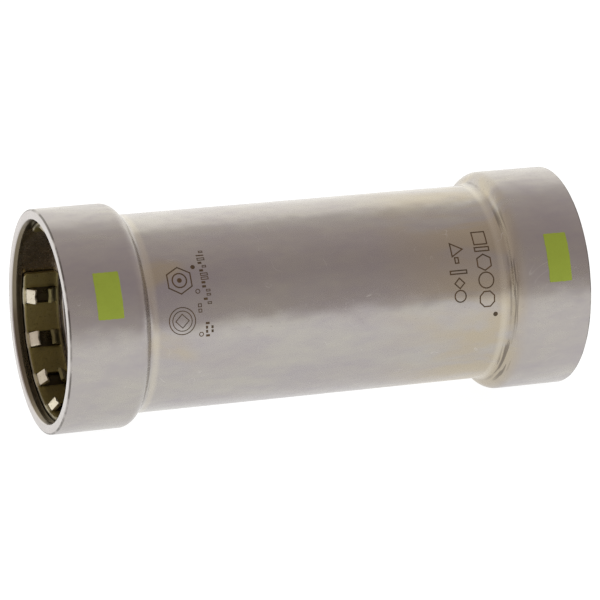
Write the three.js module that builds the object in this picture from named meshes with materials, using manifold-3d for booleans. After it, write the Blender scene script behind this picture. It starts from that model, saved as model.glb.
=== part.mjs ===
// Slip coupling for steel pipe, joined by pressing: a long tube with a bell at each end.
// Each bell holds a seal, a separator ring and a split grip ring, in that order from the inside out.
// Units are millimetres. The coupling lies along X with its origin at its centre, on its own axis; Z is up.
import * as THREE from "three";
import { mergeVertices } from "three/addons/utils/BufferGeometryUtils.js";
import Module from "manifold-3d";

// The pipe that the coupling takes, and how loosely it slides through.
const pipeRadius = 42.16 / 2;
const slipClearance = 0.28; // radial, between pipe and tube bore
const sealClearance = 0.07; // radial, between pipe and the relaxed seal
const toothClearance = 0.4; // radial, between pipe and the tips of the grip teeth

// The fitting body.
const overallLength = 133;
const tubeWall = 2.77;
const bellStep = 3.1; // how far the bell stands out from the tube
const bellWall = 2.5;
const shoulderAngle = THREE.MathUtils.degToRad(65);
const shoulderRound = 3.2; // outer convex radius of the shoulder
const shoulderFillet = 1.4; // outer concave radius where the shoulder meets the tube
const shoulderStraight = 0.2; // least straight slope between the round and the fillet
const lipDepth = 2.5; // the turned-in lip that keeps the rings in
const lipStep = 0.48; // how far the lip stands in from the chamber wall
const lipRamp = 0.3;
const mouthChamfer = 0.45;
const mouthEdgeRound = 0.4;

// What the bell holds.
const pieceGap = 0.3; // clearance between a loose ring and what it seats on
const gripWidth = 8.9;
const gripThickness = 0.9;
const gripSplit = THREE.MathUtils.degToRad(37.5); // how far apart the split ring's two ends stand
const gripEnd = THREE.MathUtils.degToRad(14.6); // where the left ring's first end stands, above the rear
const gripCornerRound = 1.2;
const toothPairs = 12;
const endToTooth = THREE.MathUtils.degToRad(14.1); // from either end to the middle of the nearest pair
const toothWidth = 3.5;
const toothSideGap = 0.3; // between a tooth and each side of its window
const toothStrip = 0.8; // band left between a tooth's root and the edge of the ring
const toothKerf = 1.6; // metal cut away between the two teeth of a pair before they are folded
const rightGripTurn = THREE.MathUtils.degToRad(150); // the right ring's turn from where the left one stands
const gripToSeparator = 0.5;
const separatorThickness = 1.0;
const separatorToSeal = 0.35;
const separatorClearance = 0.5; // radial, between the separator and the pipe
const sealToShoulder = 0.37; // from the seal to the end of the bell's straight part

const facets = 64; // flats round a full turn
const sealFacets = 12; // flats round the seal's section
const cornerFacets = 4; // flats on a rounded corner

// Sizes that follow from the values above.
const boreRadius = pipeRadius + slipClearance;
const tubeRadius = boreRadius + tubeWall;
const bellRadius = tubeRadius + bellStep;
const chamberRadius = bellRadius - bellWall;
const lipRadius = chamberRadius - lipStep;
const seatRadius = chamberRadius - pieceGap; // outer radius of every ring in the bell
const gripInnerRadius = seatRadius - gripThickness;
const gripStart = lipDepth + lipRamp; // depths are measured inwards from the mouth plane
const separatorStart = gripStart + gripWidth + gripToSeparator;
const sealRadius = (seatRadius - pipeRadius - sealClearance) / 2; // of its round section
const sealDepth = separatorStart + separatorThickness + separatorToSeal + sealRadius;
const bellLength = sealDepth + sealRadius + sealToShoulder; // straight part of the bell
const gripArc = 2 * Math.PI - gripSplit;
const toothPitch = (gripArc - 2 * endToTooth) / (toothPairs - 1);
const toothLength = (gripWidth - 2 * toothStrip - toothKerf) / 2;
const mouth = -overallLength / 2; // X of the left mouth plane
const halfFacet = Math.PI / facets;

const steel = new THREE.MeshStandardMaterial({ color: 0xa39d96, roughness: 0.38, metalness: 1 });
const ringSteel = new THREE.MeshStandardMaterial({ color: 0x8a8052, roughness: 0.32, metalness: 1 });
const separatorSteel = new THREE.MeshStandardMaterial({ color: 0xb4b4b2, roughness: 0.3, metalness: 1 });
const rubber = new THREE.MeshStandardMaterial({ color: 0x161616, roughness: 0.7, metalness: 0 });

const wasm = await Module();
wasm.setup();

// Turns a closed loop of [depth, radius] points about the X axis, with a flat at the bottom.
function turned(loop) {
  const points = [...loop, loop[0]].map(([depth, radius]) => new THREE.Vector2(radius, depth));
  const geometry = new THREE.LatheGeometry(points, facets, halfFacet);
  return geometry.rotateZ(-Math.PI / 2);
}

// Points of an arc about [depth, radius], from one angle to another; angle 0 points away from the axis.
function arc([depth, radius], size, from, to, steps) {
  return Array.from({ length: steps + 1 }, (_, i) => {
    const angle = from + ((to - from) * i) / steps;
    return [depth + size * Math.sin(angle), radius + size * Math.cos(angle)];
  });
}

// One end of the body, from its mouth to its plain tube: the outer line and the inner line.
function endLines() {
  const sine = Math.sin(shoulderAngle);
  const cosine = Math.cos(shoulderAngle);
  const filletRoom = (bellStep - shoulderStraight * sine) / (1 - cosine) - shoulderRound;
  const fillet = Math.min(shoulderFillet, filletRoom);
  const rounds = shoulderRound + fillet;
  const slope = (bellStep - rounds * (1 - cosine)) / sine;
  const roundCentre = [bellLength, bellRadius - shoulderRound];
  const filletCentre = [bellLength + rounds * sine + slope * cosine, tubeRadius + fillet];
  const outer = [
    [0, bellRadius - mouthEdgeRound],
    [mouthEdgeRound, bellRadius],
    ...arc(roundCentre, shoulderRound, 0, shoulderAngle, 4),
    ...arc(filletCentre, fillet, Math.PI + shoulderAngle, Math.PI, 3),
  ];
  const inner = [
    [0, lipRadius + mouthChamfer],
    [mouthChamfer, lipRadius],
    [lipDepth, lipRadius],
    [lipDepth + lipRamp, chamberRadius],
    ...arc(roundCentre, shoulderRound - bellWall, 0, shoulderAngle, 2),
    ...arc(filletCentre, fillet + tubeWall, Math.PI + shoulderAngle, Math.PI, 4),
  ];
  return { outer, inner };
}

function bodyGeometry() {
  const { outer, inner } = endLines();
  const left = ([depth, radius]) => [mouth + depth, radius];
  const right = ([depth, radius]) => [-mouth - depth, radius];
  const loop = [
    ...outer.map(left),
    ...outer.map(right).reverse(),
    ...inner.map(right),
    ...inner.map(left).reverse(),
  ];
  return turned(loop);
}

function separatorGeometry() {
  const inside = pipeRadius + separatorClearance;
  const end = separatorStart + separatorThickness;
  return turned([
    [separatorStart, seatRadius],
    [end, seatRadius],
    [end, inside],
    [separatorStart, inside],
  ]);
}

function sealGeometry() {
  const section = arc([sealDepth, seatRadius - sealRadius], sealRadius, 0, 2 * Math.PI, sealFacets);
  return turned(section.slice(1));
}

// A closed geometry as a manifold-3d solid, and back.
function solid(geometry) {
  const bare = geometry.index ? geometry.toNonIndexed() : geometry.clone();
  bare.deleteAttribute("normal");
  bare.deleteAttribute("uv");
  const merged = mergeVertices(bare, 1e-3);
  return new wasm.Manifold(
    new wasm.Mesh({
      numProp: 3,
      vertProperties: merged.attributes.position.array,
      triVerts: new Uint32Array(merged.index.array),
    }),
  );
}

function geometryOf(body) {
  const mesh = body.getMesh();
  return new THREE.BufferGeometry()
    .setAttribute("position", new THREE.BufferAttribute(mesh.vertProperties, 3))
    .setIndex(new THREE.BufferAttribute(mesh.triVerts, 1));
}

// Extrudes a shape drawn in the Y-Z plane along X, from one depth to another.
function alongX(shape, from, to) {
  const geometry = new THREE.ExtrudeGeometry(shape, { depth: to - from, bevelEnabled: false });
  return geometry.applyMatrix4(
    new THREE.Matrix4().set(0, 0, 1, from, 1, 0, 0, 0, 0, 1, 0, 0, 0, 0, 0, 1),
  );
}

// The split band before its teeth are cut: a sector of a ring, drawn as Y-Z and run along X.
function bandSolid() {
  const steps = Math.round((facets * gripArc) / (2 * Math.PI));
  const along = (radius, i) => {
    const angle = gripEnd - (gripArc * i) / steps;
    return new THREE.Vector2(radius * Math.cos(angle), radius * Math.sin(angle));
  };
  const outer = Array.from({ length: steps + 1 }, (_, i) => along(seatRadius, i));
  const inner = Array.from({ length: steps + 1 }, (_, i) => along(gripInnerRadius, i));
  const shape = new THREE.Shape([...outer.reverse(), ...inner]);
  return solid(alongX(shape, gripStart, gripStart + gripWidth));
}

// A box in the flat strip, with its depth along X, its thickness outwards along Y and its width along Z.
// It leans about its inner root edge, and is then turned about the axis to its angle.
function boxAt(depth, radius, angle, size, lean = 0) {
  const geometry = new THREE.BoxGeometry(...size).translate(size[0] / 2, size[1] / 2, 0);
  geometry.rotateZ(lean).translate(depth, radius, 0).rotateX(angle);
  return solid(geometry);
}

// What rounds one corner of the band: the part of a square corner outside its quarter circle, run radially.
// inX and inT say which way the band lies from the corner, along X and round the turn.
function cornerCut(depth, angle, inX, inT) {
  const round = gripCornerRound;
  const spare = round / 2;
  const at = (u, v) => new THREE.Vector2(depth + inX * u, inT * v);
  const quarter = Array.from({ length: cornerFacets + 1 }, (_, i) => {
    const turn = (Math.PI / 2) * (i / cornerFacets);
    return at(round - round * Math.sin(turn), round - round * Math.cos(turn));
  });
  const shape = new THREE.Shape([at(-spare, round), at(-spare, -spare), at(round, -spare), ...quarter]);
  const radialRun = gripThickness + 2 * spare;
  const geometry = new THREE.ExtrudeGeometry(shape, { depth: radialRun, bevelEnabled: false });
  geometry.rotateX(Math.PI / 2).translate(0, seatRadius + spare, 0).rotateX(angle);
  return solid(geometry);
}

// The grip ring: a split band with pairs of teeth folded in from one window like a pair of doors.
function gripGeometry() {
  const toothReach = gripInnerRadius - pipeRadius - toothClearance;
  const lean = Math.asin(toothReach / toothLength);
  const end = gripStart + gripWidth;
  const holeSize = [gripWidth - 2 * toothStrip, 3 * gripThickness, toothWidth + 2 * toothSideGap];
  const toothSize = [toothLength, gripThickness, toothWidth];
  const sink = gripThickness / 2; // how far a tooth's root runs into the band
  let band = bandSolid();
  for (const [depth, inX] of [[gripStart, 1], [end, -1]]) {
    band = band.subtract(cornerCut(depth, gripEnd, inX, -1));
    band = band.subtract(cornerCut(depth, gripEnd - gripArc, inX, 1));
  }
  for (let i = 0; i < toothPairs; i += 1) {
    const angle = gripEnd - endToTooth - i * toothPitch;
    band = band.subtract(boxAt(gripStart + toothStrip, gripInnerRadius - gripThickness, angle, holeSize));
    const mouthRoot = gripStart + toothStrip - sink;
    band = band.add(boxAt(mouthRoot, gripInnerRadius, angle, toothSize, -lean));
    const deepRoot = end - toothStrip + sink;
    const mirrored = boxAt(-deepRoot, gripInnerRadius, angle, toothSize, -lean);
    band = band.add(mirrored.mirror([1, 0, 0]));
  }
  return geometryOf(band);
}

function piece(name, geometry, material) {
  const mesh = new THREE.Mesh(geometry, material);
  mesh.name = name;
  return mesh;
}

// The three rings of one bell, with their depths measured from its mouth.
function bellRings(side, gripTurn) {
  const grip = piece(`${side}_grip_ring`, gripGeometry(), ringSteel);
  grip.rotation.x = gripTurn;
  const rings = new THREE.Group();
  rings.add(grip);
  rings.add(piece(`${side}_separator_ring`, separatorGeometry(), separatorSteel));
  rings.add(piece(`${side}_seal_ring`, sealGeometry(), rubber));
  return rings;
}

const coupling = new THREE.Group();
coupling.add(piece("fitting_body", bodyGeometry(), steel));

const leftRings = bellRings("left", 0);
leftRings.position.x = mouth;
coupling.add(leftRings);

const rightRings = bellRings("right", rightGripTurn);
rightRings.position.x = -mouth;
rightRings.rotation.z = Math.PI;
coupling.add(rightRings);

export default coupling;
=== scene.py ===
# %% [markdown]
# # A press-fit pipe coupling
#
# The object is a long steel coupling that slides over two pipe ends. It is one tube with a bell at each
# end. Each bell hides a split grip ring with teeth, a flat separator ring and a rubber seal. The packed
# model is loaded first and is never changed. It gives every size and place that follows.

# %% Load the fixed frame
import math
import random

import bmesh
import bpy
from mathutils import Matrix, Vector


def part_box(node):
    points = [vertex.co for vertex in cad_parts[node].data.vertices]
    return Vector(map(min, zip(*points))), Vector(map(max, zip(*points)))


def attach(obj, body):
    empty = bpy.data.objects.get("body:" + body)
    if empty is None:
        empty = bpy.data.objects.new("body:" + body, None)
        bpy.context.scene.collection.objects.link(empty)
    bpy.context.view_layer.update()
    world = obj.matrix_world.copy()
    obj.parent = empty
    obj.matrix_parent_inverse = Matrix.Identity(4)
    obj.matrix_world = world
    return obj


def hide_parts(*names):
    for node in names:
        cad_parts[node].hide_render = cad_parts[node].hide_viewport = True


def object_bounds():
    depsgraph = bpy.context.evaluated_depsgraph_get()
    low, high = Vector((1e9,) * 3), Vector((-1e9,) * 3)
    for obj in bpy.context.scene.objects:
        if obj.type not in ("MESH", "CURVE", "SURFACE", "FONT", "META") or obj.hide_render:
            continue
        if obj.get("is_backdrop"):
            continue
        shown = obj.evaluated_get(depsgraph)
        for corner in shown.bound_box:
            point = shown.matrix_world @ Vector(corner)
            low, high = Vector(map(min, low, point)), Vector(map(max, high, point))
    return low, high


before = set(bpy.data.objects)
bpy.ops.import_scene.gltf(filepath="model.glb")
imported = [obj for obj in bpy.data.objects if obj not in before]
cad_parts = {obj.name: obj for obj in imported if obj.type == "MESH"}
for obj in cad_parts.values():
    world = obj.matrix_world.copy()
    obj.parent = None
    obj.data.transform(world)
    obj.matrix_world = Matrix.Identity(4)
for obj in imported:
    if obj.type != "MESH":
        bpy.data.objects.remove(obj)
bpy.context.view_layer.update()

# %% [markdown]
# ## What the frame tells us
#
# The coupling lies along X, with its origin in the middle of its own axis. Its rounds have 64 flats in the
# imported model, and a box ends on a flat, so a true radius is the box's half height divided by the cosine of
# half a flat. Wall thicknesses and small radii can't be read from boxes, so they are named here in
# millimetres.

# %% Driving sizes
MM = 0.001
SAME_PLACE = 0.001 * MM
CAD_FLATS = 64
FLAT = math.cos(math.pi / CAD_FLATS)

half_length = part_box("fitting_body")[1].x
bell_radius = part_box("fitting_body")[1].z / FLAT
seat_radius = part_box("left_separator_ring")[1].z / FLAT

BELL_STEP = 3.1 * MM
BELL_WALL = 2.5 * MM
TUBE_WALL = 2.77 * MM
tube_radius = bell_radius - BELL_STEP
bore_radius = tube_radius - TUBE_WALL
chamber_radius = bell_radius - BELL_WALL
print(f"bell {bell_radius / MM:.2f}, tube {tube_radius / MM:.2f}, bore {bore_radius / MM:.2f} mm in radius")

# %% [markdown]
# ## The camera
#
# It stands in front and to the left, a little above the axis, with a long lens. The left mouth is open to
# it, so the teeth of the left grip ring show. A long lens keeps the two bells almost the same size.

# %% Camera
CAMERA_PLACE = (-0.28793, -0.79879, 0.23027)
CAMERA_TURN = (math.pi / 2 - 0.2655, 0, -0.3462)
CAMERA_LENS = 214.36
CAMERA_REACH = 20

bpy.ops.object.camera_add(location=CAMERA_PLACE, rotation=CAMERA_TURN)
camera = bpy.context.object
camera.data.lens = CAMERA_LENS
camera.data.clip_end = CAMERA_REACH
bpy.context.scene.camera = camera
print("camera at", [round(value, 3) for value in camera.location])

# %% [markdown]
# ## Workshop habits
#
# Operators act on whatever is selected, so every piece begins with an empty selection. A few helpers keep
# the modelling steps short: one opens a primitive for editing, one selects by place, one applies a
# modifier, and one leaves the piece at the origin with its place in its mesh.

# %% Helpers for modelling
def select_only(*pieces):
    """Selects just these pieces, and makes the first one active."""
    bpy.ops.object.select_all(action="DESELECT")
    for piece in pieces:
        piece.select_set(True)
    bpy.context.view_layer.objects.active = pieces[0]


def begin(add_primitive, name, **settings):
    """Adds a primitive with nothing else selected, names it and opens it in edit mode."""
    bpy.ops.object.select_all(action="DESELECT")
    add_primitive(**settings)
    piece = bpy.context.object
    piece.name = piece.data.name = name
    bpy.ops.object.transform_apply(location=True, rotation=True, scale=True)
    bpy.ops.object.mode_set(mode="EDIT")
    return piece


def pick(test, kind="VERT"):
    """In edit mode, selects just the vertices, edges or faces whose middle passes the test."""
    bpy.ops.mesh.select_mode(type=kind)
    bpy.ops.mesh.select_all(action="DESELECT")
    mesh = bmesh.from_edit_mesh(bpy.context.edit_object.data)
    for item in {"VERT": mesh.verts, "EDGE": mesh.edges, "FACE": mesh.faces}[kind]:
        corners = [item.co] if kind == "VERT" else [vertex.co for vertex in item.verts]
        if test(sum(corners, Vector()) / len(corners)):
            item.select_set(True)
    mesh.select_flush_mode()
    bmesh.update_edit_mesh(bpy.context.edit_object.data)


def cut(place, normal):
    """Cuts every face along a plane, and keeps both sides."""
    bpy.ops.mesh.select_all(action="SELECT")
    bpy.ops.mesh.bisect(plane_co=place, plane_no=normal, threshold=SAME_PLACE)


def apply_modifier(piece, kind, **settings):
    """Adds a modifier, sets it and applies it."""
    modifier = piece.modifiers.new(kind.title(), kind)
    for key, value in settings.items():
        setattr(modifier, key, value)
    bpy.context.view_layer.objects.active = piece
    bpy.ops.object.modifier_apply(modifier=modifier.name)


def clean():
    """Merges doubles and turns every face outwards, in edit mode, then leaves it."""
    bpy.ops.object.mode_set(mode="EDIT")
    bpy.ops.mesh.select_all(action="SELECT")
    bpy.ops.mesh.remove_doubles(threshold=SAME_PLACE / 10)
    bpy.ops.mesh.normals_make_consistent(inside=False)
    bpy.ops.object.mode_set(mode="OBJECT")


def finish_piece(piece, smooth_below=35):
    """Shades the piece, leaves it unturned at the origin and says how many faces it has."""
    select_only(piece)
    bpy.ops.object.transform_apply(location=True, rotation=True, scale=True)
    bpy.ops.object.shade_smooth_by_angle(angle=math.radians(smooth_below))
    print(f"{piece.name}: {len(piece.data.polygons)} faces")


# %% [markdown]
# ## Turned shapes
#
# The body is the same all the way round, so it comes from a drawing of its wall, spun about the axis. The
# wall's outline is drawn by extruding one vertex from corner to corner. Each corner is then rounded with a
# vertex bevel, whose width is the radius times the tangent of half the corner's turn. A stack of scaled
# rings would give the same shape, but the radii would be much harder to control.

# %% Draw an outline and round its corners
ARC_STEP = 0.35 * MM
FEWEST_ARC_STEPS = 3
SPIN_STEPS = 160


def draw_outline(name, corners):
    """Draws (x, radius, rounding) corners as a closed face in the plane y = 0, with the roundings made."""
    points = [Vector((x, 0, radius)) for x, radius, _ in corners]
    outline = begin(bpy.ops.mesh.primitive_plane_add, name, size=MM, location=points[0])
    bpy.ops.mesh.merge(type="CENTER")
    for here, there in zip(points, points[1:]):
        bpy.ops.mesh.extrude_vertices_move(TRANSFORM_OT_translate={"value": there - here})
    bpy.ops.mesh.select_all(action="SELECT")
    bpy.ops.mesh.edge_face_add()
    for i, (_, _, rounding) in enumerate(corners):
        if not rounding:
            continue
        before, after = points[i] - points[i - 1], points[(i + 1) % len(points)] - points[i]
        pick(lambda middle: (middle - points[i]).length < SAME_PLACE)
        bpy.ops.mesh.bevel(
            offset_type="ABSOLUTE",
            offset=rounding * math.tan(before.angle(after) / 2),
            segments=max(FEWEST_ARC_STEPS, round(rounding / ARC_STEP)),
            affect="VERTICES",
        )
    return outline


def spin_outline():
    """Spins the outline's edges a full turn about the X axis, and closes the seam."""
    bpy.ops.mesh.select_mode(type="VERT")
    bpy.ops.mesh.select_all(action="SELECT")
    bpy.ops.mesh.delete(type="ONLY_FACE")
    bpy.ops.mesh.select_all(action="SELECT")
    bpy.ops.mesh.spin(steps=SPIN_STEPS, angle=2 * math.pi, center=(0, 0, 0), axis=(1, 0, 0))


# %% [markdown]
# ## The body
#
# The real body is a steel tube whose ends are swollen into bells, and whose mouth is rolled in to a small
# lip that keeps the rings from falling out. The left half's wall is drawn, spun, and mirrored, because both
# ends are formed by the same tool.

# %% Body
BELL_FLAT = 17.0 * MM
SHOULDER_TURN = math.radians(61)
SHOULDER_ROUND = 3.2 * MM
SHOULDER_FILLET = 2.2 * MM
LIP_DEPTH = 2.5 * MM
LIP_STEP = 0.4 * MM
LIP_RAMP = 0.3 * MM
LEAD_IN_DEPTH = 1.1 * MM
LEAD_IN_STEP = 0.55 * MM
LEAD_IN_ROUND = 0.6 * MM
MOUTH_ROUND = 0.4 * MM
RIM_BREAK = 0.08 * MM
LIP_BREAK = 0.15 * MM
LIP_FOOT_ROUND = 0.1 * MM
lip_radius = chamber_radius - LIP_STEP


def bell_corners():
    """The wall of the left half, as corners measured from the middle, each with its rounding."""
    half_turn = math.tan(SHOULDER_TURN / 2)
    shoulder = BELL_FLAT + SHOULDER_ROUND * half_turn
    foot = shoulder + BELL_STEP / math.tan(SHOULDER_TURN)
    inner_shoulder = BELL_FLAT + (SHOULDER_ROUND - BELL_WALL) * half_turn
    inner_foot = inner_shoulder + (chamber_radius - bore_radius) / math.tan(SHOULDER_TURN)
    depths = [
        (0, bell_radius, MOUTH_ROUND),
        (shoulder, bell_radius, SHOULDER_ROUND),
        (foot, tube_radius, SHOULDER_FILLET),
        (half_length, tube_radius, 0),
        (half_length, bore_radius, 0),
        (inner_foot, bore_radius, SHOULDER_FILLET + TUBE_WALL),
        (inner_shoulder, chamber_radius, SHOULDER_ROUND - BELL_WALL),
        (LIP_DEPTH + LIP_RAMP, chamber_radius, LIP_FOOT_ROUND),
        (LIP_DEPTH, lip_radius, LIP_BREAK),
        (LEAD_IN_DEPTH, lip_radius, LEAD_IN_ROUND),
        (0, lip_radius + LEAD_IN_STEP, RIM_BREAK),
    ]
    return [(depth - half_length, radius, rounding) for depth, radius, rounding in depths]


body = draw_outline("coupling_body", bell_corners())
pick(lambda middle: abs(middle.x) < SAME_PLACE, "EDGE")
bpy.ops.mesh.delete(type="EDGE_FACE")
spin_outline()
clean()
apply_modifier(body, "MIRROR", use_axis=(True, False, False), merge_threshold=SAME_PLACE)
clean()
finish_piece(body)

# %% [markdown]
# ## The separator rings
#
# A thin flat ring sits between the teeth and the seal, so that the teeth can't cut the rubber. The real one
# is blanked from strip. Here it is a disc that is inset to its hole, thickened and broken at its edges.

# %% Separator rings
PIPE_RADIUS = 42.16 / 2 * MM
SEPARATOR_CLEARANCE = 0.5 * MM
EDGE_BREAK = 0.12 * MM
RING_STEPS = 144


def make_separator(side):
    """A flat ring with broken edges, between the grip ring and the seal of one bell."""
    low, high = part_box(f"{side}_separator_ring")
    inner_radius = PIPE_RADIUS + SEPARATOR_CLEARANCE
    ring = begin(
        bpy.ops.mesh.primitive_circle_add,
        f"{side}_separator",
        vertices=RING_STEPS,
        radius=seat_radius,
        fill_type="NGON",
        location=((low.x + high.x) / 2, 0, 0),
        rotation=(0, math.pi / 2, 0),
    )
    bpy.ops.mesh.inset(thickness=seat_radius - inner_radius)
    bpy.ops.mesh.delete(type="FACE")
    bpy.ops.object.mode_set(mode="OBJECT")
    apply_modifier(ring, "SOLIDIFY", thickness=high.x - low.x, offset=0)
    clean()
    apply_modifier(ring, "BEVEL", width=EDGE_BREAK, segments=3, limit_method="ANGLE")
    finish_piece(ring)
    return ring


separators = {side: make_separator(side) for side in ("left", "right")}

# %% [markdown]
# ## The seals
#
# The seal is a moulded rubber ring of round section. A mould has two halves, and they leave a fine flash
# line round the ring. A torus gives the section. The loop of edges nearest the pipe is bevelled, and its
# middle line is then scaled towards the axis to stand up as the flash.

# %% Seal rings
FLASH_WIDTH = 0.18 * MM
FLASH_HEIGHT = 0.05 * MM
SEAL_SECTION_STEPS = 28


def make_seal(side):
    """A rubber ring of round section, with its flash line at the bore."""
    low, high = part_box(f"{side}_seal_ring")
    section = (high.x - low.x) / 2
    middle = (low.x + high.x) / 2
    seal = begin(
        bpy.ops.mesh.primitive_torus_add,
        f"{side}_seal",
        major_segments=RING_STEPS,
        minor_segments=SEAL_SECTION_STEPS,
        major_radius=seat_radius - section,
        minor_radius=section,
        location=(middle, 0, 0),
        rotation=(0, math.pi / 2, 0),
    )
    bore = seat_radius - 2 * section

    def at_parting_line(place):
        return abs(place.x - middle) < SAME_PLACE and math.hypot(place.y, place.z) < bore + FLASH_HEIGHT / 2

    pick(at_parting_line, "EDGE")
    bpy.ops.mesh.bevel(offset=FLASH_WIDTH, segments=2, affect="EDGES")
    pick(at_parting_line)
    shrink = 1 - FLASH_HEIGHT / bore
    bpy.ops.transform.resize(value=(1, shrink, shrink), center_override=(middle, 0, 0))
    clean()
    finish_piece(seal, smooth_below=60)
    return seal


seals = {side: make_seal(side) for side in ("left", "right")}

# %% [markdown]
# ## Rolling flat work round the axis
#
# The grip ring, the paint patches and the etched marks all begin as flat work in the plane y = 0, with X
# along the coupling and Z round it. A Simple Deform bend rolls the sheet up to its radius. It bends by a
# whole angle over the sheet's length, so the angle is the length divided by the radius. The side facing +Y
# becomes the inside.

# %% Roll a sheet
def roll_up(piece, radius, middle_angle):
    """Rolls flat work about the X axis. middle_angle runs from the rear, +Y, upwards to +Z."""
    heights = [vertex.co.z for vertex in piece.data.vertices]
    apply_modifier(
        piece,
        "SIMPLE_DEFORM",
        deform_method="BEND",
        deform_axis="X",
        angle=(max(heights) - min(heights)) / radius,
    )
    select_only(piece)
    piece.location.y = -radius
    bpy.ops.object.transform_apply(location=True, rotation=False, scale=False)
    piece.rotation_euler.x = middle_angle - math.pi
    bpy.ops.object.transform_apply(location=False, rotation=True, scale=False)


# %% [markdown]
# ## The grip rings
#
# The grip ring is a stainless strip, lanced with pairs of doors that are folded inwards to make teeth, and
# rolled into an open ring. It is made here in the same order as in the press shop. One pitch of the strip,
# with its pair of doors, is cut, lanced and folded, then arrayed to the whole strip, thickened and rolled
# up.

# %% Grip ring sizes
GRIP_THICKNESS = 0.9 * MM
GRIP_SPLIT = math.radians(37.5)
END_TO_TOOTH = math.radians(14.1)
TOOTH_PAIRS = 12
TOOTH_WIDTH = 3.5 * MM
TOOTH_SIDE_GAP = 0.26 * MM
TOOTH_LEAN = math.radians(48.8)
TOOTH_KERF = 0.8 * MM
TIP_HOLLOW = 0.2 * MM
FOLD_FROM_EDGE = 1.18 * MM
WINDOW_FROM_EDGE = 0.8 * MM
STRIP_PULL = 0.2 * MM
GRIP_CORNER = 1.2 * MM
PLAIN_ROWS = 4
FOLDED_ROW_REACH = 0.2 * MM
grip_low, grip_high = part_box("left_grip_ring")
grip_width = grip_high.x - grip_low.x
grip_arc = 2 * math.pi - GRIP_SPLIT
tooth_pitch = (grip_arc - 2 * END_TO_TOOTH) / (TOOTH_PAIRS - 1)
pitch_length = tooth_pitch * seat_radius
inner_stretch = seat_radius / (seat_radius - GRIP_THICKNESS)
print(f"grip ring {grip_width / MM:.1f} mm wide, a pair every {math.degrees(tooth_pitch):.2f} degrees")

# %% One pitch of the strip
half_tooth = TOOTH_WIDTH / 2 * inner_stretch
half_window = half_tooth + TOOTH_SIDE_GAP
window_end = grip_width / 2 - WINDOW_FROM_EDGE
fold = grip_width / 2 - FOLD_FROM_EDGE


def in_tooth(place):
    return abs(place.z) < half_tooth + SAME_PLACE


def make_pitch():
    """One pair of teeth in its stretch of strip. The outer face lies at y = 0, and inwards is +Y."""
    pitch = begin(
        bpy.ops.mesh.primitive_plane_add, "grip_pitch", size=pitch_length, rotation=(math.pi / 2, 0, 0)
    )
    bpy.ops.transform.resize(value=(grip_width / pitch_length, 1, 1))
    for x in (window_end, fold, (fold + TOOTH_KERF / 2) / 2, TOOTH_KERF / 2):
        cut((x, 0, 0), (1, 0, 0))
        cut((-x, 0, 0), (1, 0, 0))
    row = (pitch_length / 2 - half_window) / PLAIN_ROWS
    heights = [0, half_tooth / 2, half_tooth] + [half_window + row * i for i in range(PLAIN_ROWS)]
    for z in heights:
        cut((0, 0, z), (0, 0, 1))
        cut((0, 0, -z), (0, 0, 1))
    pick(lambda place: abs(place.x) < TOOTH_KERF / 2 and abs(place.z) < half_window, "FACE")
    bpy.ops.mesh.delete(type="FACE")
    pick(lambda place: abs(place.x) < window_end and half_tooth < abs(place.z) < half_window, "FACE")
    bpy.ops.mesh.delete(type="FACE")
    return pitch


def fold_teeth():
    """Pulls the edge strips in beside each tooth, hollows the tips and folds the two doors inwards.

    The doors are widened towards their tips, because rolling the strip up narrows whatever stands inwards.
    """
    pick(lambda place: fold - SAME_PLACE < abs(place.x) < window_end + SAME_PLACE and in_tooth(place))
    bpy.ops.transform.translate(value=(0, STRIP_PULL, 0))
    for side in (-1, 1):
        pick(lambda place: 0 < side * place.x < TOOTH_KERF and abs(place.z) < half_tooth / 4)
        bpy.ops.transform.translate(value=(side * TIP_HOLLOW, 0, 0))
        pick(lambda place: 0 < side * place.x < fold - SAME_PLACE and in_tooth(place))
        bpy.ops.transform.translate(value=(0, STRIP_PULL, 0))
        bpy.ops.transform.rotate(
            value=side * TOOTH_LEAN,
            orient_axis="Z",
            center_override=(side * fold, STRIP_PULL, 0),
        )
    for step in (0.5, 1.0):
        depth = STRIP_PULL + step * math.sin(TOOTH_LEAN) * (fold - TOOTH_KERF / 2)
        pick(lambda place: abs(place.y - depth) < FOLDED_ROW_REACH)
        bpy.ops.transform.resize(value=(1, 1, 1 + depth / seat_radius))


pitch = make_pitch()
fold_teeth()
clean()
tip_depth = max(vertex.co.y for vertex in pitch.data.vertices)
print(f"one pitch: {len(pitch.data.polygons)} faces, its tips {tip_depth / MM:.2f} mm in")

# %% The whole strip, and one rolled ring for each bell
GRIP_END = math.radians(14.6)
RIGHT_GRIP_TURN = math.radians(150)
CORNER_SNIPS = 6
GRIP_EDGE = 0.07 * MM


def snip_corners(length):
    """Rounds the strip's four corners with a few straight snips along each quarter circle."""
    centre_x = grip_width / 2 - GRIP_CORNER
    centre_z = length / 2 - GRIP_CORNER
    for x_side in (-1, 1):
        for z_side in (-1, 1):
            for i in range(CORNER_SNIPS):
                turn = math.pi / 2 * (i + 0.5) / CORNER_SNIPS
                outwards = Vector((x_side * math.cos(turn), 0, z_side * math.sin(turn)))
                pick(lambda place: x_side * place.x > centre_x and z_side * place.z > centre_z, "FACE")
                bpy.ops.mesh.bisect(
                    plane_co=Vector((x_side * centre_x, 0, z_side * centre_z)) + GRIP_CORNER * outwards,
                    plane_no=outwards,
                    clear_outer=True,
                    threshold=SAME_PLACE,
                )


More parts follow.
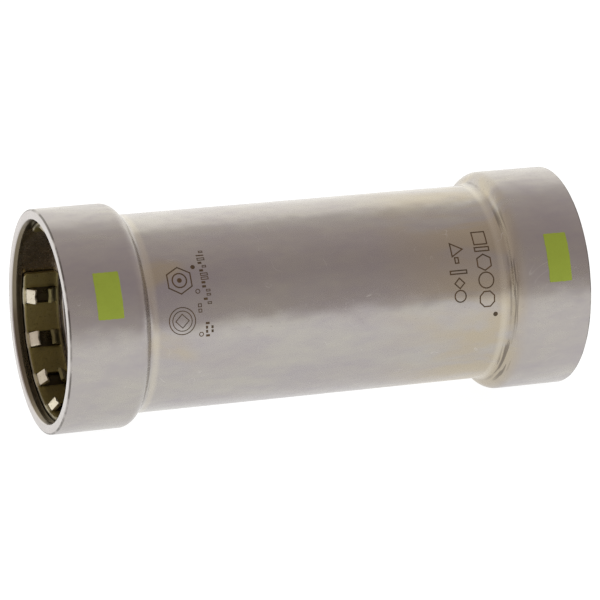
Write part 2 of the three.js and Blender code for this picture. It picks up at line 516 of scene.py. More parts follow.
def make_strip(strip):
    """Turns one pitch into the whole thick strip, its outer face still at y = 0."""
    strip.name = strip.data.name = "left_grip"
    length = grip_arc * seat_radius
    apply_modifier(
        strip,
        "ARRAY",
        count=TOOTH_PAIRS,
        use_relative_offset=False,
        use_constant_offset=True,
        constant_offset_displace=(0, 0, pitch_length),
        use_merge_vertices=True,
        merge_threshold=SAME_PLACE,
    )
    bpy.ops.object.mode_set(mode="EDIT")
    bpy.ops.mesh.select_all(action="SELECT")
    bpy.ops.transform.translate(value=(0, 0, -pitch_length * (TOOTH_PAIRS - 1) / 2))
    plain_end = (length - pitch_length * TOOTH_PAIRS) / 2
    for side in (-1, 1):
        pick(lambda place: side * place.z > length / 2 - plain_end - SAME_PLACE, "EDGE")
        bpy.ops.mesh.extrude_region_move(TRANSFORM_OT_translate={"value": (0, 0, side * plain_end)})
    snip_corners(length)
    bpy.ops.mesh.select_all(action="SELECT")
    bpy.ops.mesh.normals_make_consistent(inside=False)
    if sum(face.normal.y for face in bmesh.from_edit_mesh(strip.data).faces) > 0:
        bpy.ops.mesh.flip_normals()
    bpy.ops.object.mode_set(mode="OBJECT")
    apply_modifier(strip, "SOLIDIFY", thickness=GRIP_THICKNESS, offset=-1, use_even_offset=True)
    apply_modifier(strip, "BEVEL", width=GRIP_EDGE, segments=2, limit_method="ANGLE")
    return strip


left_grip = make_strip(pitch)
select_only(left_grip)
bpy.ops.object.duplicate(linked=False)
right_grip = bpy.context.object
right_grip.name = right_grip.data.name = "right_grip"
left_middle = GRIP_END - grip_arc / 2
right_middle = math.pi - (left_middle + RIGHT_GRIP_TURN)
grips = {"left": left_grip, "right": right_grip}
for side, middle in (("left", left_middle), ("right", right_middle)):
    low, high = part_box(f"{side}_grip_ring")
    roll_up(grips[side], seat_radius, middle)
    grips[side].location.x = (low.x + high.x) / 2
    finish_piece(grips[side])

# %% [markdown]
# ## Paint patches
#
# Each bell carries a patch of yellow-green marking paint, which is put on by a stamp, so its corners are
# soft and its edges a little ragged. A plane gets rounded corners, its border is subdivided and jittered
# with a fixed seed, and rows of cuts let it roll up without flats.

# %% Paint patches
PAINT_THICKNESS = 0.045 * MM
PAINT_LIFT = 0.004 * MM
PAINT_RAGGED = 0.05 * MM
PAINT_CORNER = 0.3 * MM
PAINT_BORDER_CUTS = 14
BEND_STEP = 0.7 * MM


def cut_rows(low, high, step):
    """Cuts the work across Z every step, so that it can be rolled up."""
    rows = int((high - low) / step)
    for i in range(1, rows):
        cut((0, 0, low + (high - low) * i / rows), (0, 0, 1))


def make_patch(name, middle_x, width, degrees, seed):
    """A stamped patch of paint on a bell, between two angles from the rear over the top."""
    start, end = (math.radians(angle) for angle in degrees)
    length = (end - start) * bell_radius
    patch = begin(bpy.ops.mesh.primitive_plane_add, name, size=length, rotation=(math.pi / 2, 0, 0))
    bpy.ops.transform.resize(value=(width / length, 1, 1))
    bpy.ops.mesh.bevel(offset_type="ABSOLUTE", offset=PAINT_CORNER, segments=4, affect="VERTICES")
    pick(lambda place: max(abs(place.x) - width / 2, abs(place.z) - length / 2) > -SAME_PLACE, "EDGE")
    bpy.ops.mesh.subdivide(number_cuts=PAINT_BORDER_CUTS)
    bpy.ops.mesh.select_all(action="SELECT")
    bpy.ops.transform.vertex_random(offset=PAINT_RAGGED, uniform=1, seed=seed)
    bpy.ops.transform.resize(value=(1, 0, 1))
    cut_rows(-length / 2, length / 2, BEND_STEP)
    bpy.ops.object.mode_set(mode="OBJECT")
    apply_modifier(patch, "SOLIDIFY", thickness=PAINT_THICKNESS, offset=0)
    roll_up(patch, bell_radius + PAINT_LIFT + PAINT_THICKNESS / 2, (start + end) / 2)
    patch.location.x = middle_x
    clean()
    finish_piece(patch)
    return patch


patches = [
    make_patch("left_paint_patch", -half_length + 10.35 * MM, 6.3 * MM, (142, 166), seed=3),
    make_patch("right_paint_patch", half_length - 8.05 * MM, 5.9 * MM, (142.7, 168.3), seed=8),
]

# %% [markdown]
# ## Etched marks
#
# A laser darkens the steel along thin lines. The marks here are plain shapes: hexagons, rings, squares,
# bars and a row of code strokes. Each closed shape is a filled primitive that is inset, and its middle is
# deleted, which leaves a line of even width. All the shapes of one group are joined, cut in rows and rolled
# onto the tube.

# %% Shapes of the marks
MARK_THICKNESS = 0.016 * MM
MARK_LIFT = 0.006 * MM
MARK_LINE = 0.32 * MM


def leave_line(line):
    """Leaves a line of even width along a filled shape's border, or the whole shape for a line of 0."""
    if line:
        bpy.ops.mesh.inset(thickness=line)
        bpy.ops.mesh.delete(type="FACE")
    bpy.ops.object.mode_set(mode="OBJECT")


def shape(kind, x, angle, size, line=MARK_LINE, turn=0.0):
    """One flat shape, with kind corners and a radius of size."""
    drawn = begin(
        bpy.ops.mesh.primitive_circle_add,
        "mark",
        vertices=kind,
        radius=size,
        fill_type="NGON",
        location=(x, 0, angle * tube_radius),
        rotation=(math.pi / 2, turn, 0),
    )
    leave_line(line)
    return drawn


def bar(x, angle, width, height, line=0.0):
    """One flat bar, width along the tube and height round it."""
    place = (x, 0, angle * tube_radius)
    flat = (math.pi / 2, 0, 0)
    drawn = begin(bpy.ops.mesh.primitive_plane_add, "mark", size=height, location=place, rotation=flat)
    bpy.ops.transform.resize(value=(width / height, 1, 1), center_override=place)
    leave_line(line)
    return drawn


# Each kind of code stroke is one or two bars. A bar's shift and width are shares of the code's height,
# and its length round the tube and its line are shares of the step.
STROKES = {
    "long": [(0, 1, 0.3, 0)],
    "box": [(0, 1, 0.75, 0.2)],
    "pair": [(-0.36, 0.28, 0.7, 0), (0.36, 0.28, 0.7, 0)],
    "high": [(0.22, 0.56, 0.6, 0.18)],
    "low": [(-0.25, 0.5, 0.55, 0)],
}


def code_strokes(x, start, end, step, height, seed):
    """A row of short strokes round the tube, like a machine code."""
    strokes = []
    dice = random.Random(seed)
    for i in range(int((end - start) * tube_radius / step)):
        angle = start + i * step / tube_radius
        for shift, width, length, line in STROKES[dice.choice(tuple(STROKES))]:
            strokes.append(bar(x + shift * height, angle, width * height, length * step, line * step))
    return strokes


def etch(name, drawn, middle_angle):
    """Joins flat shapes drawn about middle_angle, and rolls them onto the tube."""
    select_only(*drawn)
    bpy.ops.object.join()
    mark = drawn[0]
    mark.name = mark.data.name = name
    heights = [vertex.co.z for vertex in mark.data.vertices]
    bpy.ops.object.mode_set(mode="EDIT")
    cut_rows(min(heights), max(heights), BEND_STEP)
    bpy.ops.object.mode_set(mode="OBJECT")
    apply_modifier(mark, "SOLIDIFY", thickness=MARK_THICKNESS, offset=0)
    roll_up(mark, tube_radius + MARK_LIFT + MARK_THICKNESS / 2, middle_angle)
    clean()
    finish_piece(mark)
    return mark


# %% [markdown]
# ## Where the marks go
#
# A drawing's Z goes up over the top once it is rolled onto the tube, and its height is an angle times the
# tube's radius, counted from the middle of the front. Places are easier to give as degrees from the rear
# over the top, so one function turns those into drawing angles. Each group is one piece.

# %% The left group
FRONT = math.radians(155)
FINE_LINE = 0.2 * MM
CODE_STEP = 1.0 * MM
CODE_HEIGHT = 1.9 * MM


def at(degrees):
    """The drawing angle of a place round the tube, given in degrees from the rear over the top."""
    return FRONT - math.radians(degrees)


left_x = -half_length + 29 * MM
beside_x = left_x + 4.2 * MM
left_group = [
    # a hexagon round a ring and a dot
    shape(6, left_x, at(147.8), 3.5 * MM, line=0.3 * MM),
    shape(40, left_x, at(147.8), 1.9 * MM),
    shape(16, left_x, at(147.8), 0.6 * MM, line=0),
    # two rings round a square
    shape(48, left_x - 0.4 * MM, at(171), 3.35 * MM, line=0.22 * MM),
    shape(40, left_x - 0.4 * MM, at(171), 2.5 * MM, line=FINE_LINE),
    shape(4, left_x - 0.4 * MM, at(171), 1.8 * MM, line=FINE_LINE),
    # small dots, rings and squares beside them
    shape(16, left_x + 3.9 * MM, at(140.5), 0.55 * MM, line=0),
    shape(16, left_x + 4.1 * MM, at(155), 0.6 * MM, line=FINE_LINE),
    shape(4, beside_x, at(163), 0.65 * MM, line=FINE_LINE, turn=math.pi / 4),
    shape(4, beside_x, at(166), 0.65 * MM, line=FINE_LINE, turn=math.pi / 4),
    shape(16, beside_x, at(179.5), 0.6 * MM, line=FINE_LINE),
]
code_x = -half_length + 35.3 * MM
left_group += code_strokes(code_x, at(162), at(127), CODE_STEP, CODE_HEIGHT, seed=11)
left_group += code_strokes(code_x, at(180.5), at(169), CODE_STEP, CODE_HEIGHT, seed=5)
print("left group:", len(left_group), "shapes")

# %% The right group
first_row_x = half_length - 26.4 * MM
second_row_x = half_length - 33.4 * MM
right_group = [
    shape(4, first_row_x, at(138.5), 2.6 * MM, turn=math.pi / 4),
    bar(first_row_x, at(145.5), 4.0 * MM, 1.3 * MM, line=MARK_LINE),
    shape(6, first_row_x, at(153.5), 2.2 * MM),
    shape(36, first_row_x, at(164), 2.1 * MM),
    shape(8, first_row_x, at(175), 2.2 * MM, turn=math.pi / 8),
    shape(16, first_row_x + 2.2 * MM, at(184.5), 0.6 * MM, line=0),
    shape(3, second_row_x, at(144.5), 2.3 * MM, turn=math.pi / 2),
    bar(second_row_x, at(151), 1.2 * MM, 1.7 * MM, line=MARK_LINE),
    bar(second_row_x, at(158), 4.6 * MM, 1.1 * MM, line=MARK_LINE),
    shape(4, second_row_x, at(164.5), 1.5 * MM),
    shape(32, second_row_x, at(172), 1.6 * MM),
]
print("right group:", len(right_group), "shapes")
marks = [etch("left_etched_marks", left_group, FRONT), etch("right_etched_marks", right_group, FRONT)]

# %% [markdown]
# ## Materials
#
# A finish is built from shared node groups and one Principled shader. The groups put out colours, masks and
# heights that vary over the surface; anything that is the same all over is set on the shader itself. All
# patterns read Object coordinates, in metres, so they stay with the steel when a ring turns.

# %% Helpers that add nodes
def feed(tree, socket, value):
    """Links an output to a socket, or sets the socket to a number, a vector or a colour."""
    if isinstance(value, bpy.types.NodeSocket):
        tree.links.new(value, socket)
    else:
        socket.default_value = value


def add_node(tree, kind, *fed, **settings):
    """Adds a node with its settings. fed holds values or outputs for its first inputs, in order."""
    node = tree.nodes.new(kind)
    for name, value in settings.items():
        setattr(node, name, value)
    for socket, value in zip(node.inputs, fed):
        feed(tree, socket, value)
    return node


def feed_by_name(tree, node, settings):
    """Feeds a node's inputs by name, with underlines for spaces, and returns its outputs."""
    for name, value in settings.items():
        feed(tree, node.inputs[name.replace("_", " ")], value)
    return node.outputs


def object_place(tree):
    """Where on its piece a point lies, in metres."""
    return add_node(tree, "ShaderNodeTexCoord").outputs["Object"]


# %% Helpers for numbers, vectors and colours
def math_node(tree, operation, *fed):
    """A Math node's output."""
    return add_node(tree, "ShaderNodeMath", *fed, operation=operation).outputs[0]


def times(tree, product, *others):
    """Several numbers or masks multiplied together."""
    for other in others:
        product = math_node(tree, "MULTIPLY", product, other)
    return product


def scaled(tree, place, factors):
    """A place scaled by its own factor along X, Y and Z."""
    return add_node(tree, "ShaderNodeVectorMath", place, factors, operation="MULTIPLY").outputs["Vector"]


def measure(tree, operation, *vectors):
    """One number from one or two vectors: a LENGTH or a DOT_PRODUCT."""
    return add_node(tree, "ShaderNodeVectorMath", *vectors, operation=operation).outputs["Value"]


def mix_colour(tree, share, first, second):
    """A colour mixed from two, by a share from 0 to 1."""
    node = add_node(tree, "ShaderNodeMix", data_type="RGBA")
    for name, value in (("Factor_Float", share), ("A_Color", first), ("B_Color", second)):
        feed(tree, next(item for item in node.inputs if item.identifier == name), value)
    return next(item for item in node.outputs if item.identifier == "Result_Color")


def remap(tree, value, low, high, to_low=0.0, to_high=1.0):
    """A value rescaled smoothly from one range to another, and clamped."""
    node = add_node(tree, "ShaderNodeMapRange", value, low, high, to_low, to_high)
    node.interpolation_type = "SMOOTHSTEP"
    return node.outputs[0]


def band(tree, value, middle, full, end, strength=1.0, beyond=0.0):
    """A soft band: its strength out to full from the middle, then fading until end."""
    off_middle = math_node(tree, "ABSOLUTE", math_node(tree, "SUBTRACT", value, middle))
    return remap(tree, off_middle, full, end, strength, beyond)


def noise_node(tree, **settings):
    """Noise from 0 to 1, with the node's inputs fed by name."""
    return feed_by_name(tree, add_node(tree, "ShaderNodeTexNoise"), settings)[0]


def noise(tree, place, size, detail=3.0, distortion=0.0):
    """Noise whose blotches are about size metres across."""
    return noise_node(tree, Vector=place, Scale=1 / size, Detail=detail, Distortion=distortion)


def bump(tree, height, distance, **under):
    """A normal that follows a height. under may hold a Normal that it is added to."""
    node = add_node(tree, "ShaderNodeBump")
    return feed_by_name(tree, node, {"Height": height, "Distance": distance, **under})[0]


# %% Helpers for groups and materials
def new_group(name, inputs, outputs):
    """An empty shader node group with named sockets. Each input is (name, kind, default)."""
    tree = bpy.data.node_groups.new(name, "ShaderNodeTree")
    for socket_name, kind, default in inputs:
        socket = tree.interface.new_socket(socket_name, in_out="INPUT", socket_type=f"NodeSocket{kind}")
        socket.default_value = default
    for socket_name, kind in outputs:
        tree.interface.new_socket(socket_name, in_out="OUTPUT", socket_type=f"NodeSocket{kind}")
    return tree, tree.nodes.new("NodeGroupInput").outputs, tree.nodes.new("NodeGroupOutput").inputs


def use_group(tree, group, **settings):
    """Places a group in a material, with its inputs set by name, and returns its outputs."""
    return feed_by_name(tree, add_node(tree, "ShaderNodeGroup", node_tree=group), settings)


def new_material(name, **uniform):
    """A material with its Principled shader, whose uniform values are set on its own sockets."""
    material = bpy.data.materials.new(name)
    material.use_nodes = True
    shader = material.node_tree.nodes["Principled BSDF"]
    feed_by_name(material.node_tree, shader, uniform)
    return material, material.node_tree, shader.inputs


# %% [markdown]
# ## Shared effects
#
# Mottle is the uneven tone of pickled and handled steel: two tones in soft blotches, with a finer cloud
# over them. Drawn grain is the fine pattern of rolled or drawn metal, stretched along one direction, with
# small specks. Scratches are thin wandering hairlines that come in patches. Each group is built once.

# %% Group: mottle
BLOTCH_SHARE = 0.65
PUSH = 3.0
mottle, mottle_in, mottle_out = new_group(
    "Mottle",
    [
        ("Vector", "Vector", (0, 0, 0)),
        ("First", "Color", (0.5, 0.5, 0.5, 1)),
        ("Second", "Color", (0.4, 0.4, 0.4, 1)),
        ("Blotch Scale", "Float", 80.0),
        ("Cloud Scale", "Float", 400.0),
        ("Contrast", "Float", 1.0),
    ],
    [("Color", "Color"), ("Mask", "Float")],
)
blotches, clouds = (
    noise_node(mottle, Vector=mottle_in["Vector"], Scale=mottle_in[scale], Detail=detail, Roughness=0.6)
    for scale, detail in (("Blotch Scale", 4.0), ("Cloud Scale", 5.0))
)
both = math_node(mottle, "MULTIPLY_ADD", clouds, 1 - BLOTCH_SHARE, times(mottle, blotches, BLOTCH_SHARE))
centred = math_node(mottle, "SUBTRACT", both, 0.5)
pushed = math_node(mottle, "MULTIPLY_ADD", centred, times(mottle, mottle_in["Contrast"], PUSH), 0.5)
mask = add_node(mottle, "ShaderNodeClamp", pushed).outputs[0]
mottle.links.new(mask, mottle_out["Mask"])
mottle.links.new(mix_colour(mottle, mask, mottle_in["First"], mottle_in["Second"]), mottle_out["Color"])
print(mottle.name, "has", len(mottle.nodes), "nodes")

# %% Group: drawn grain
SPECK_HEIGHT = 0.4
grain, grain_in, grain_out = new_group(
    "Drawn grain",
    [
        ("Vector", "Vector", (0, 0, 0)),
        ("Stretch", "Vector", (200, 3000, 3000)),
        ("Speck Scale", "Float", 2500.0),
    ],
    [("Height", "Float"), ("Specks", "Float")],
)
lines = noise(grain, scaled(grain, grain_in["Vector"], grain_in["Stretch"]), 1.0, detail=2.0)
specks = noise_node(grain, Vector=grain_in["Vector"], Scale=grain_in["Speck Scale"], Detail=3.0)
grain.links.new(math_node(grain, "MULTIPLY_ADD", specks, SPECK_HEIGHT, lines), grain_out["Height"])
grain.links.new(remap(grain, specks, 0.6, 0.7), grain_out["Specks"])
print(grain.name, "has", len(grain.nodes), "nodes")

# %% Group: scratches
scratches, scratches_in, scratches_out = new_group(
    "Scratches", [("Vector", "Vector", (0, 0, 0))], [("Mask", "Float")]
)
wander = noise(scratches, scratches_in["Vector"], 14 * MM, detail=2.0, distortion=1.5)
hairline = band(scratches, wander, 0.5, 0.001, 0.005)
patchy = remap(scratches, noise(scratches, scratches_in["Vector"], 6 * MM), 0.55, 0.65)
scratches.links.new(times(scratches, hairline, patchy), scratches_out["Mask"])
print(scratches.name, "has", len(scratches.nodes), "nodes")

# %% [markdown]
# ## Body steel
#
# The body is pickled steel with a thin clear oxide: a warm grey that drifts to mauve, and straw yellow
# beside the shoulders, where the heat of forming was greatest, most of it on the right. At the foot of each
# shoulder there are a painted highlight line, a broken painted shade line and fine marks left by the forming
# die. Colours are laid over one another in that order, each by its own mask.

# %% Body steel: two tones and the heat tint
STRAW = (0.45, 0.395, 0.305, 1)
body_steel, tree, shader = new_material("pickled_steel", Metallic=1.0)
place = object_place(tree)
along = add_node(tree, "ShaderNodeSeparateXYZ", place).outputs[0]
from_middle = math_node(tree, "ABSOLUTE", along)
drawn_out = scaled(tree, place, (0.4, 1, 1))
tone = use_group(
    tree,
    mottle,
    Vector=drawn_out,
    First=(0.45, 0.428, 0.39, 1),
    Second=(0.39, 0.362, 0.372, 1),
    Blotch_Scale=75.0,
    Cloud_Scale=480.0,
    Contrast=1.2,
)
foot_depth = BELL_FLAT + SHOULDER_ROUND * math.tan(SHOULDER_TURN / 2) + BELL_STEP / math.tan(SHOULDER_TURN)
from_foot = math_node(tree, "SUBTRACT", from_middle, half_length - foot_depth)
turnover = 0.3 * half_length
more_heat = remap(tree, along, -turnover, turnover, -0.08, 0.06)
heat_cloud = noise(tree, drawn_out, 13 * MM, detail=5.0, distortion=0.6)
straw_patches = remap(tree, math_node(tree, "ADD", heat_cloud, more_heat), 0.42, 0.60)
heat_reach = remap(tree, along, -turnover, turnover, 9 * MM, 34 * MM)
heated = band(tree, from_foot, -4.5 * MM, 2 * MM, heat_reach, beyond=0.08)
off_bell = remap(tree, from_foot, 0.0, 5 * MM, 1.0, 0.1)
straw_tone = mix_colour(tree, times(tree, straw_patches, heated, off_bell), tone["Color"], STRAW)
print(f"the shoulders end {foot_depth / MM:.1f} mm from the mouths")

# %% Body steel: painted highlight and shade at the shoulders' feet, and die marks
BURNISHED = (0.66, 0.61, 0.50, 1)
CREASE_TONE = (0.14, 0.12, 0.10, 1)
DIE_TONE = (0.17, 0.145, 0.12, 1)
# A painted highlight along the rounding just above each shoulder's foot.
burnish = band(tree, from_foot, -1.3 * MM, 0.2 * MM, 1.4 * MM, 0.35)
burnished = mix_colour(tree, burnish, straw_tone, BURNISHED)
# A broken line of painted shade just past each shoulder's foot.
crease = band(tree, from_foot, 0.25 * MM, 0.05 * MM, 0.35 * MM, 0.48)
breaks = remap(tree, noise(tree, place, 9 * MM), 0.38, 0.62, 0.15, 1.0)
creased = mix_colour(tree, times(tree, crease, breaks), burnished, CREASE_TONE)
ringwise = scaled(tree, place, (1, 0.04, 0.04))
die_lines = remap(tree, noise(tree, ringwise, 0.38 * MM, detail=1.0), 0.53, 0.60)
on_shoulder = band(tree, from_foot, 0.5 * MM, 0.5 * MM, 1.5 * MM, 0.75)
die_patches = remap(tree, noise(tree, place, 20 * MM, detail=1.0), 0.46, 0.6)
tinted = mix_colour(tree, times(tree, die_lines, on_shoulder, die_patches), creased, DIE_TONE)
print(len(tree.nodes), "nodes so far")

# %% [markdown]
# Inside, the bare bore is a warm brown. The steel round each grip ring is painted dark as the shade behind
# the ring, except in the ring's split, where the wall lies open, and the lip is painted darker than the bore
# as shade in the mouth. The rim of each mouth is machined, so it is brighter, and its outer corner has a thin
# dark line, a painted reflection of the dim room in front. A surface is inside where it faces the axis.

# %% Body steel: the bore and the lip
BORE_TONE = (0.46, 0.39, 0.29, 1)
OILED_BORE = (0.12, 0.10, 0.07, 1)
LIP_TONE = (0.17, 0.142, 0.098, 1)
SPLIT_FADE = 0.03
facing = add_node(tree, "ShaderNodeTexCoord").outputs["Normal"]
radial = scaled(tree, place, (0, 1, 1))
from_axis = measure(tree, "LENGTH", radial)
turned_out = math_node(tree, "DIVIDE", measure(tree, "DOT_PRODUCT", facing, radial), from_axis)
inside = remap(tree, turned_out, -0.35, -0.1, 1.0, 0.0)
in_gap = 0.0
for own_side, middle in (("LESS_THAN", left_middle), ("GREATER_THAN", right_middle)):
    gap_middle = middle + math.pi
    gap_direction = (0, math.cos(gap_middle), math.sin(gap_middle))
    facing_gap = math_node(tree, "DIVIDE", measure(tree, "DOT_PRODUCT", radial, gap_direction), from_axis)
    gap = remap(tree, facing_gap, math.cos(GRIP_SPLIT / 2 + SPLIT_FADE), math.cos(GRIP_SPLIT / 2))
    this_gap = times(tree, gap, math_node(tree, own_side, along, 0.0))
    in_gap = math_node(tree, "ADD", in_gap, this_gap)
# The inner wall round each grip ring is painted dark as shade, except in the ring's split.
behind_ring = remap(tree, from_middle, abs(grip_high.x) - 0.5 * MM, abs(grip_high.x))
oil = times(tree, behind_ring, math_node(tree, "SUBTRACT", 1.0, in_gap))
# The lip is painted darker as shade in the mouth.
lip = remap(tree, from_middle, half_length - LIP_DEPTH - LIP_RAMP, half_length - LEAD_IN_DEPTH)
mouth_tone = mix_colour(tree, lip, mix_colour(tree, oil, BORE_TONE, OILED_BORE), LIP_TONE)
bare = mix_colour(tree, inside, tinted, mouth_tone)
print("oil starts", round(abs(grip_high.x) / MM, 1), "mm from the middle")

# %% Body steel: the rim, and a painted dark reflection at its corner
RIM_TONE = (0.55, 0.52, 0.50, 1)
BURR_TONE = (0.10, 0.09, 0.08, 1)
rim = remap(tree, from_middle, half_length - 0.35 * MM, half_length - 0.15 * MM)
rimmed = mix_colour(tree, rim, bare, RIM_TONE)
# A thin dark line at each mouth's outer corner: a painted reflection of the dim room in front.
corner_line = math_node(tree, "SUBTRACT", half_length + bell_radius, from_middle)
corner = math_node(tree, "SUBTRACT", from_axis, corner_line)
burr = band(tree, corner, -0.26 * MM, 0.06 * MM, 0.2 * MM, 0.85)
ragged = remap(tree, noise(tree, place, 4 * MM), 0.35, 0.6, 0.3, 1.0)
body_colour = mix_colour(tree, times(tree, burr, ragged), rimmed, BURR_TONE)
print(len(tree.nodes), "nodes so far")

# %% Body steel: gloss, grain and waviness
WAVE_HEIGHT = 0.45 * MM
DRAWN_HEIGHT = 0.004 * MM
SCRATCH_TONE = (0.66, 0.64, 0.60, 1)
fine = use_group(tree, grain, Vector=place, Stretch=(90, 1100, 1100), Speck_Scale=1800.0)
rubbed = use_group(tree, scratches, Vector=place)["Mask"]
gloss = remap(tree, tone["Mask"], 0.0, 1.0, 0.19, 0.27)
on_bell = remap(tree, from_foot, 0.0, 3 * MM, 0.0, 0.06)
grained = math_node(tree, "MULTIPLY_ADD", fine["Specks"], 0.12, math_node(tree, "ADD", gloss, on_bell))
tree.links.new(math_node(tree, "MULTIPLY_ADD", rubbed, 0.18, grained), shader["Roughness"])
scuffed = mix_colour(tree, times(tree, rubbed, 0.35), body_colour, SCRATCH_TONE)
tree.links.new(scuffed, shader["Base Color"])
waves = bump(tree, noise(tree, place, 13 * MM, detail=2.0), WAVE_HEIGHT)
tree.links.new(bump(tree, fine["Height"], DRAWN_HEIGHT, Normal=waves), shader["Normal"])
body.data.materials.append(body_steel)
print(body_steel.name, "has", len(tree.nodes), "nodes")

# %% [markdown]
# ## Grip and separator steel
#
# The grip ring is spring strip with an olive-bronze temper colour. The row of teeth nearer the mouth is a
# cleaner tone with a painted highlight, as it faces the light, and the edge at the mouth has a painted
# highlight line, while the deeper row and edge are painted dark as shade. The separator is plain bright
# strip. Both are rolled metal, so their grain runs round the ring.

# %% Painted light and shade on the grip ring
# Tones of a painted highlight at the mouth edge and painted shade at the deep edge.
WORN_TONE = (0.44, 0.41, 0.33, 1)
OILED_STRIP = (0.07, 0.06, 0.035, 1)


def darker(colour, share):
    """A share of a colour's brightness."""
    return tuple(share * value for value in colour[:3]) + (1,)


def wear_grip(tree, place, strip_tone, deep_row, mouth_row):
    """The strip's colour, with painted light and shade on its two rows of teeth and its two edges."""
    from_axis = measure(tree, "LENGTH", scaled(tree, place, (0, 1, 1)))
    from_middle = math_node(tree, "ABSOLUTE", add_node(tree, "ShaderNodeSeparateXYZ", place).outputs[0])
    mouth_end = abs(grip_low.x)
    deep_end = abs(grip_high.x)
    inner = seat_radius - GRIP_THICKNESS
    tooth = remap(tree, from_axis, inner - 0.22 * MM, inner - 0.06 * MM, 1.0, 0.0)
    near_mouth = math_node(tree, "GREATER_THAN", from_middle, deep_end + grip_width / 2)
    # The row of teeth nearer the mouth takes a cleaner tone with painted highlight, and the deeper row
    # painted shade.
    toothed = mix_colour(tree, tooth, strip_tone, mix_colour(tree, near_mouth, deep_row, mouth_row))
    # A painted highlight line along the mouth edge.
    worn = remap(tree, from_middle, mouth_end - 0.35 * MM, mouth_end - 0.1 * MM, 0.0, 0.8)
    # A line of painted shade along the deep edge.
    oily = remap(tree, from_middle, deep_end + 0.1 * MM, deep_end + 0.5 * MM, 0.85, 0.0)
    return mix_colour(tree, oily, mix_colour(tree, worn, toothed, WORN_TONE), OILED_STRIP)


# %% Grip and separator steel
STRIP_GRAIN_HEIGHT = 0.006 * MM


def ring_steel(name, first, second, rough, teeth=None):
    """Rolled strip in two tones, with grain and dark specks. teeth is the painted lit tone of the mouth row.
    """
    material, tree, shader = new_material(name, Metallic=1.0)
    place = object_place(tree)
    scales = {"Blotch_Scale": 260.0, "Cloud_Scale": 1500.0}
    tone = use_group(tree, mottle, Vector=place, First=first, Second=second, **scales)
    # The deeper row's tone, a darkened share of the first tone, is painted shade.
    colour = wear_grip(tree, place, tone["Color"], darker(first, 0.3), teeth) if teeth else tone["Color"]
    fine = use_group(tree, grain, Vector=place, Stretch=(5000, 700, 700), Speck_Scale=2600.0)
    specked = mix_colour(tree, times(tree, fine["Specks"], 0.6), colour, darker(second, 0.4))
    tree.links.new(specked, shader["Base Color"])
    tree.links.new(remap(tree, tone["Mask"], 0.0, 1.0, rough - 0.05, rough + 0.08), shader["Roughness"])
    tree.links.new(bump(tree, fine["Height"], STRIP_GRAIN_HEIGHT), shader["Normal"])
    print(name, "has", len(tree.nodes), "nodes")
    return material


grip_steel = ring_steel(
    "spring_strip", (0.50, 0.43, 0.20, 1), (0.40, 0.33, 0.12, 1), rough=0.36, teeth=(0.70, 0.645, 0.52, 1)
)
separator_steel = ring_steel("bright_strip", (0.80, 0.78, 0.80, 1), (0.68, 0.66, 0.68, 1), rough=0.4)
for side in ("left", "right"):
    grips[side].data.materials.append(grip_steel)
    separators[side].data.materials.append(separator_steel)

# %% [markdown]
# ## Rubber, paint and etching
#
# Moulded rubber is nearly black, with a fine texture and a trace of grease. The marking paint is flat and
# even, and a little thin in places. The etching is a brown oxide: darker where the laser dwelt, more orange
# elsewhere.

# %% Rubber, paint and etching
def coating(name, first, second, blotch, rough, height, **uniform):
    """A surface in two close tones, with a little unevenness in its gloss and height."""
    material, tree, shader = new_material(name, **uniform)
    place = object_place(tree)
    cloud = blotch / 8
    scales = {"Blotch_Scale": 1 / blotch, "Cloud_Scale": 1 / cloud}
    tone = use_group(tree, mottle, Vector=place, First=first, Second=second, **scales)
    tree.links.new(tone["Color"], shader["Base Color"])
    tree.links.new(remap(tree, tone["Mask"], 0.0, 1.0, rough[0], rough[1]), shader["Roughness"])
    tree.links.new(bump(tree, noise(tree, place, cloud, detail=4.0), height), shader["Normal"])
    return material


rubber = coating(
    "black_rubber",
    (0.012, 0.012, 0.012, 1),
    (0.022, 0.021, 0.02, 1),
    blotch=3 * MM,
    rough=(0.35, 0.6),
    height=0.01 * MM,
)
paint = coating(
    "marking_paint",
    (0.34, 0.445, 0.038, 1),
    (0.31, 0.405, 0.033, 1),
    blotch=2.5 * MM,
    rough=(0.42, 0.55),
    height=0.006 * MM,
    Metallic=0.0,
)
etching = coating(
    "etched_oxide",
    (0.05, 0.038, 0.02, 1),
    (0.13, 0.07, 0.025, 1),
    blotch=5 * MM,
    rough=(0.4, 0.6),
    height=0.004 * MM,
    Metallic=0.3,
)
for side in ("left", "right"):
    seals[side].data.materials.append(rubber)
for patch in patches:
    patch.data.materials.append(paint)
for mark in marks:
    mark.data.materials.append(etching)
print("materials:", [material.name for material in bpy.data.materials])

# %% [markdown]
# ## The studio
#
# The coupling rests on a pale table that glows, so its underside is filled and its shadow stays faint. The
# glow fades in front. There are no lamps: the room itself is the light, dim in front and overhead and
# bright behind, which draws the dark and bright bands along the steel.

# %% The table
TABLE_SIZE = 8
TABLE_CUTS = 3
TABLE_GAP = 0.1 * MM
GLOW_FADE = (-0.38, -0.12)
table_top = (0, 0, -bell_radius - TABLE_GAP)
begin(bpy.ops.mesh.primitive_plane_add, "light_table", size=TABLE_SIZE, location=table_top)
bpy.ops.mesh.subdivide(number_cuts=TABLE_CUTS)
bpy.ops.object.mode_set(mode="OBJECT")
table = bpy.context.object
table_white, tree, shader = new_material("table_white", Roughness=0.8, Emission_Strength=0.93)
shader["Base Color"].default_value = (0.2, 0.2, 0.2, 1)
across_table = add_node(tree, "ShaderNodeSeparateXYZ", object_place(tree)).outputs[1]
glow = mix_colour(tree, remap(tree, across_table, *GLOW_FADE), (0.72, 0.70, 0.69, 1), (1, 1, 1, 1))
tree.links.new(glow, shader["Emission Color"])
table.data.materials.append(table_white)
table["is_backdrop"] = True
print(f"table top at {table_top[2] / MM:.2f} mm")

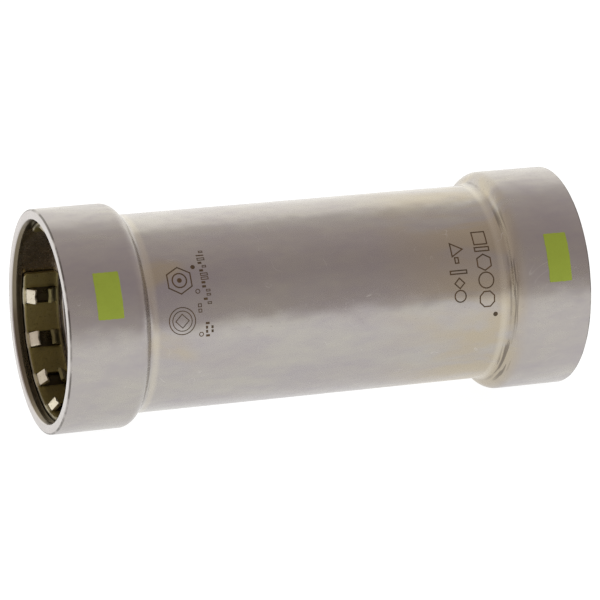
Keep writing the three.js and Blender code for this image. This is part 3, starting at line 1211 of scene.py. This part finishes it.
# %% The room
# How bright the room is, from straight in front of the coupling (0) round to straight behind it (1).
# A colour ramp can't go above 1, so the tones are held low and the strength makes up for it.
ROOM_STRENGTH = 2.0
ROOM = (
    (0.00, (0.300, 0.275, 0.270)),
    (0.08, (0.260, 0.233, 0.228)),
    (0.20, (0.233, 0.206, 0.201)),
    (0.36, (0.268, 0.238, 0.231)),
    (0.54, (0.315, 0.286, 0.278)),
    (0.66, (0.345, 0.318, 0.306)),
    (0.74, (0.400, 0.384, 0.365)),
    (0.80, (0.590, 0.575, 0.545)),
    (0.87, (0.700, 0.690, 0.650)),
    (1.00, (0.630, 0.622, 0.600)),
)
world = bpy.data.worlds.new("studio")
world.use_nodes = True
sky = world.node_tree
direction = add_node(sky, "ShaderNodeSeparateXYZ", add_node(sky, "ShaderNodeTexCoord").outputs["Generated"])
across = math_node(sky, "MULTIPLY_ADD", direction.outputs[1], 0.5, 0.5)
ramp_node = add_node(sky, "ShaderNodeValToRGB", across)
ramp = ramp_node.color_ramp
ramp.interpolation = "B_SPLINE"
for index, (stop_place, colour) in enumerate(ROOM):
    stop = ramp.elements[index] if index < 2 else ramp.elements.new(stop_place)
    stop.position = stop_place
    stop.color = colour + (1,)
feed_by_name(sky, sky.nodes["Background"], {"Color": ramp_node.outputs[0], "Strength": ROOM_STRENGTH})
bpy.context.scene.world = world
bpy.context.scene.view_settings.view_transform = "Standard"
print("the room has", len(ROOM), "tones from front to back")

# %% [markdown]
# ## Handing over
#
# Each piece is hung on an empty named for the body it rides on. The plain solids that the body and the
# rings stand for are hidden; paint and marks are extra, so they hide none. The box round everything is then
# measured.

# %% Finish
for side in ("left", "right"):
    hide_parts(f"{side}_grip_ring")
    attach(grips[side], f"{side}_grip")
    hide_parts(f"{side}_separator_ring")
    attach(separators[side], f"{side}_separator")
    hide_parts(f"{side}_seal_ring")
    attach(seals[side], "coupling")
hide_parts("fitting_body")
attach(body, "coupling")
for patch in patches:
    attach(patch, "coupling")
for mark in marks:
    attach(mark, "coupling")

low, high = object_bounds()
